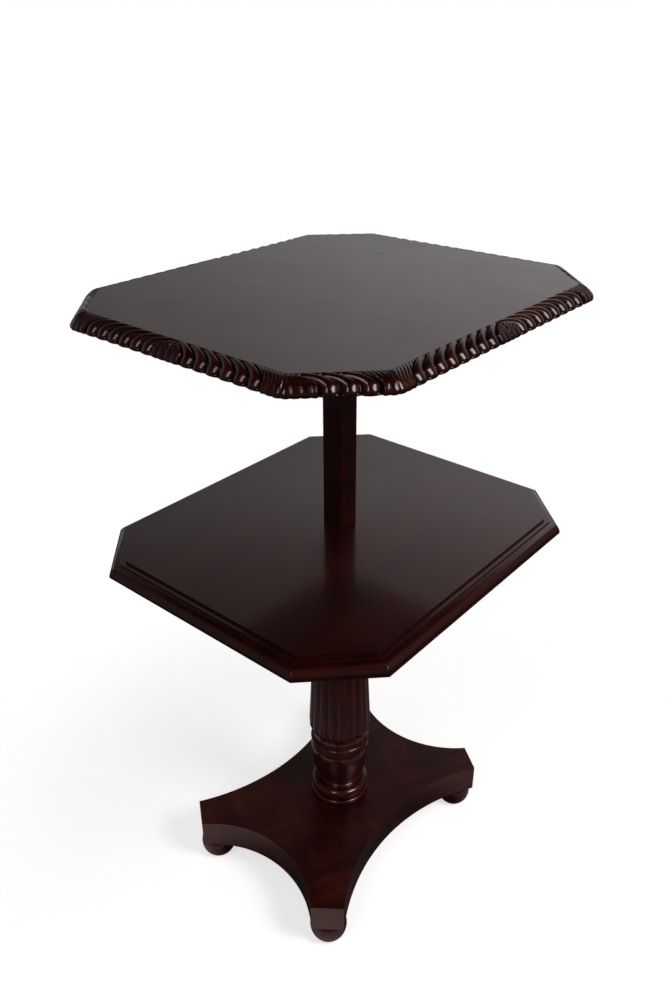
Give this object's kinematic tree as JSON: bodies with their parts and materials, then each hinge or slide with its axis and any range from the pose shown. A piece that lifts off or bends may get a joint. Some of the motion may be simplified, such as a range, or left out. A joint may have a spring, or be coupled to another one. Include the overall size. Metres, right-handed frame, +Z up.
{
  "type": "rise-and-fall tiered side table",
  "caption": "Two-tier side table with cut corners: a gadrooned upper tier on a square post that slides down into a reeded pedestal on a hollow-sided platform with bun feet.",
  "frame": {"origin": "on the floor, under the pedestal's axis", "axes": "+Z up along the pedestal, +X along the table's short way, +Y along its long way"},
  "size_m": [0.543, 0.633, 1.06],
  "materials": {
    "mahogany": "dark red-brown mahogany, French polished to a high gloss",
    "figured_mahogany": "figured mahogany veneer, French polished to a high gloss",
    "beech": "plain unpolished beech",
    "iron": "black wrought plate",
    "steel": "aged steel"
  },
  "bodies": {
    "stand": {"lower_board": "figured_mahogany", "bearer_block": "beech", "bearer_screws": "steel", "column_shaft": "mahogany", "column_vase": "mahogany", "column_base_ring": "mahogany", "platform": "figured_mahogany", "tenon_wedge": "beech", "bun_foot_front_right": "mahogany", "bun_foot_back_right": "mahogany", "bun_foot_back_left": "mahogany", "bun_foot_front_left": "mahogany"},
    "top": {"top_board": "figured_mahogany", "gadroon_long_right": "mahogany", "gadroon_long_left": "mahogany", "gadroon_short_front": "mahogany", "gadroon_short_back": "mahogany", "gadroon_cant_front_right": "mahogany", "gadroon_cant_back_right": "mahogany", "gadroon_cant_back_left": "mahogany", "gadroon_cant_front_left": "mahogany", "post": "mahogany", "post_plate": "iron", "plate_board_screws": "steel", "plate_post_screws": "steel", "post_shoe": "beech", "shoe_screw": "steel", "spring_catch": "steel", "catch_screws": "steel"}
  },
  "joints": [
    {"name": "top_rise", "type": "slide", "parent": "stand", "child": "top", "axis": [0, 0, 1], "range_m": [-0.354, 0], "deforming": ["spring_catch"]}
  ]
}
